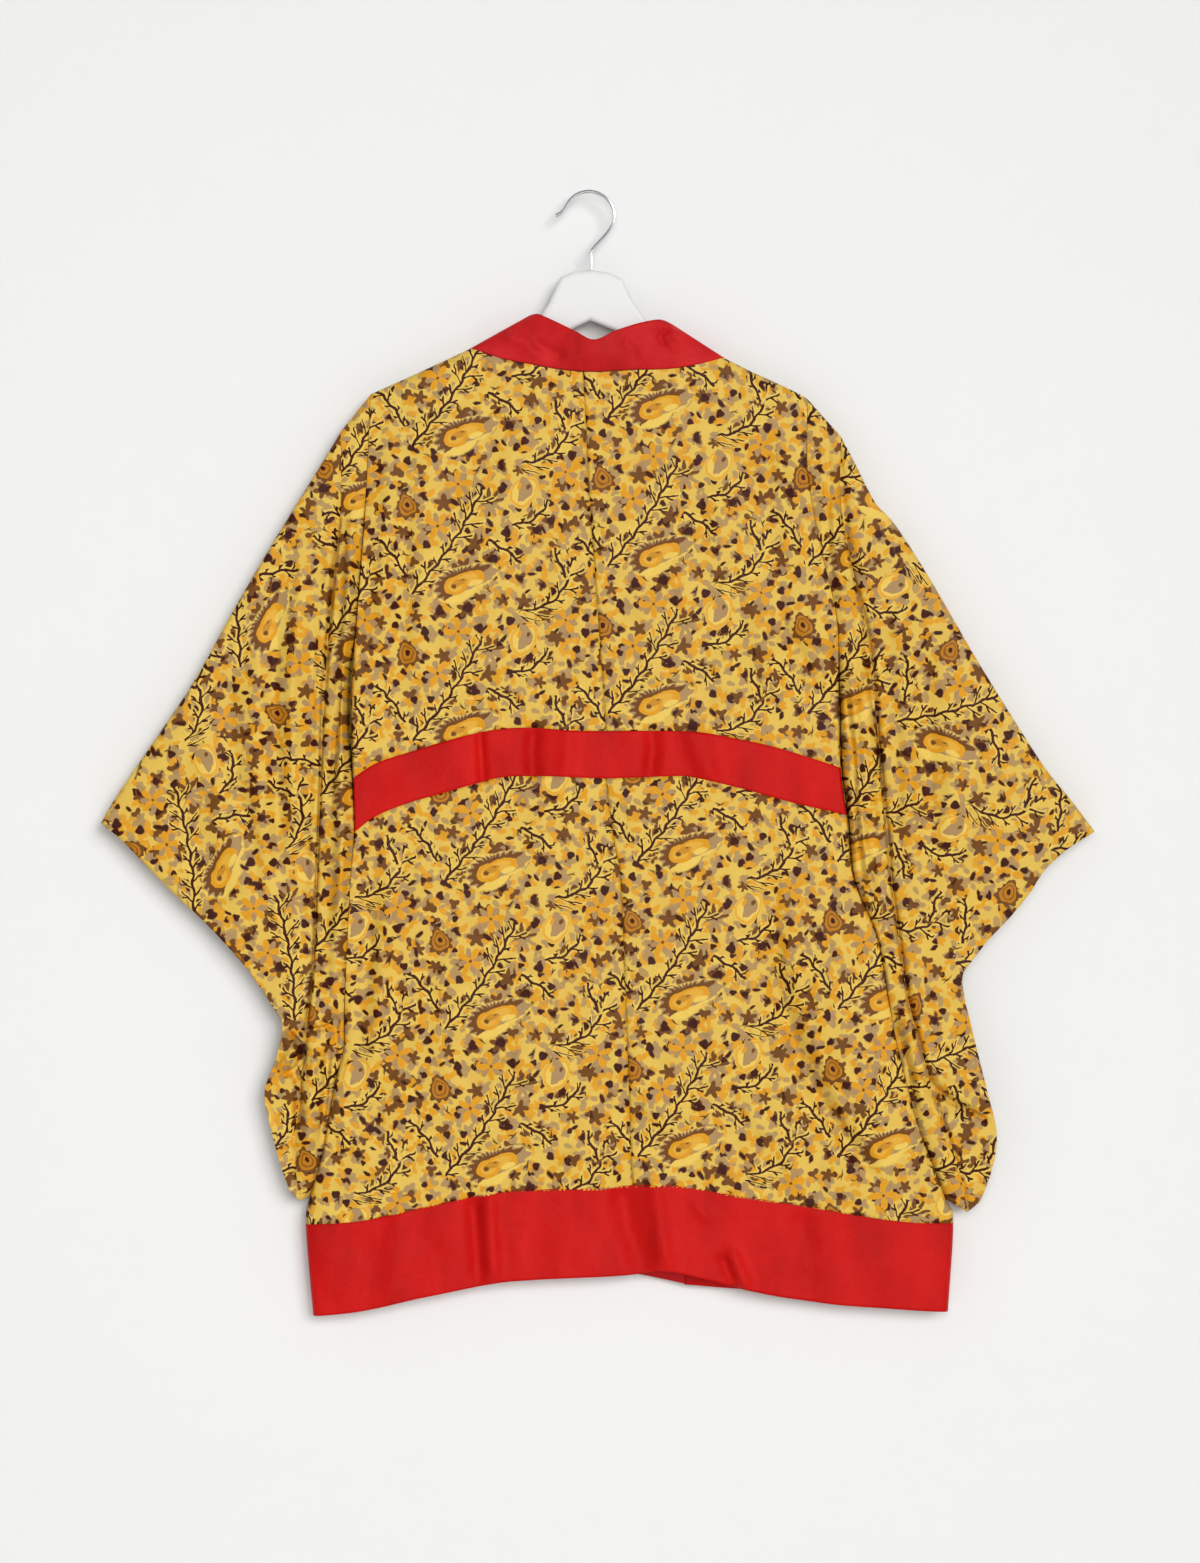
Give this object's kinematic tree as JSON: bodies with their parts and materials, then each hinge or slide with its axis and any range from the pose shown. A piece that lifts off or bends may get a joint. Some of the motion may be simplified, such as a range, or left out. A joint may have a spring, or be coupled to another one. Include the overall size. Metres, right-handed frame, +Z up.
{
  "type": "kimono jacket on a hanger",
  "caption": "Short open-fronted kimono jacket with wide sleeves, contrasting collar, waist band and hem band, hung flat on a hanger.",
  "frame": {"origin": "inner top of the hanger's hook, where a rail or peg carries it", "axes": "+Z up, +Y from the garment's back towards its front, so the back faces -Y; +X to the right as seen from behind"},
  "size_m": [0.945, 0.0464, 1.0694],
  "materials": {
    "printed_cloth": "satin-like woven cloth with a small sprig, leaf and paisley print",
    "red_cloth": "plain woven taffeta-like cloth with a soft sheen",
    "white_paint": "smooth white lacquer",
    "hook_metal": "polished"
  },
  "bodies": {
    "root": {"upper_back_left": "printed_cloth", "upper_back_right": "printed_cloth", "waist_band": "red_cloth", "lower_back_left": "printed_cloth", "lower_back_right": "printed_cloth", "hem_band_back": "red_cloth", "front_left": "printed_cloth", "front_right": "printed_cloth", "hem_band_front_left": "red_cloth", "hem_band_front_right": "red_cloth", "collar_back": "red_cloth", "collar_side_left": "red_cloth", "collar_side_right": "red_cloth", "collar_front_left": "red_cloth", "collar_front_right": "red_cloth", "sleeve_left": "printed_cloth", "sleeve_right": "printed_cloth", "hanger": "white_paint", "hook": "hook_metal"}
  },
  "joints": []
}
